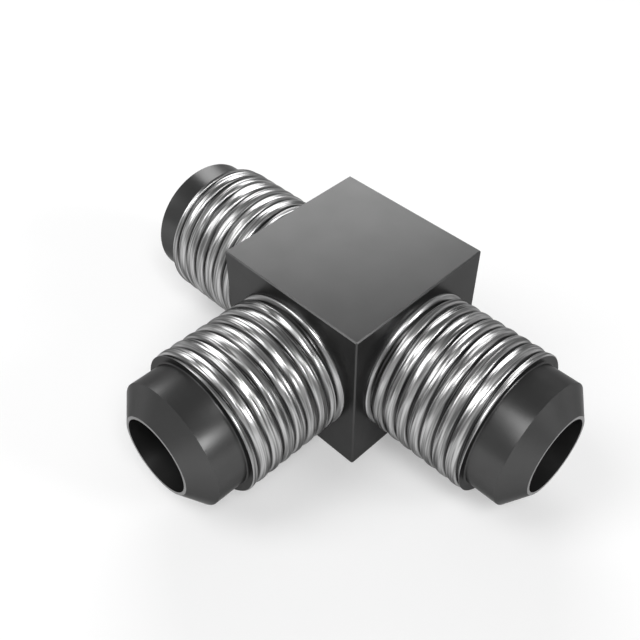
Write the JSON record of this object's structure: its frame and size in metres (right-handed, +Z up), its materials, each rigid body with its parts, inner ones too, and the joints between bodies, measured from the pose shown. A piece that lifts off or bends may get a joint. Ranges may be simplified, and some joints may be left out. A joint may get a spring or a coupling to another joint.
{
  "type": "threaded tee adapter",
  "caption": "Tee pipe adapter: a square block with a straight run and a side branch, each ending in a male thread, a plain nose and a cone seat round an open bore.",
  "frame": {"origin": "the middle of the block, where the axes of the run and the branch cross", "axes": "+X along the run, -Y out of the branch, +Z up from the block's flat underside"},
  "size_m": [0.0482, 0.0325, 0.0168],
  "materials": {
    "body_steel": "black oxide, satin",
    "thread_steel": "cut thread, bright"
  },
  "bodies": {
    "root": {"tee_body": "body_steel"}
  },
  "joints": []
}
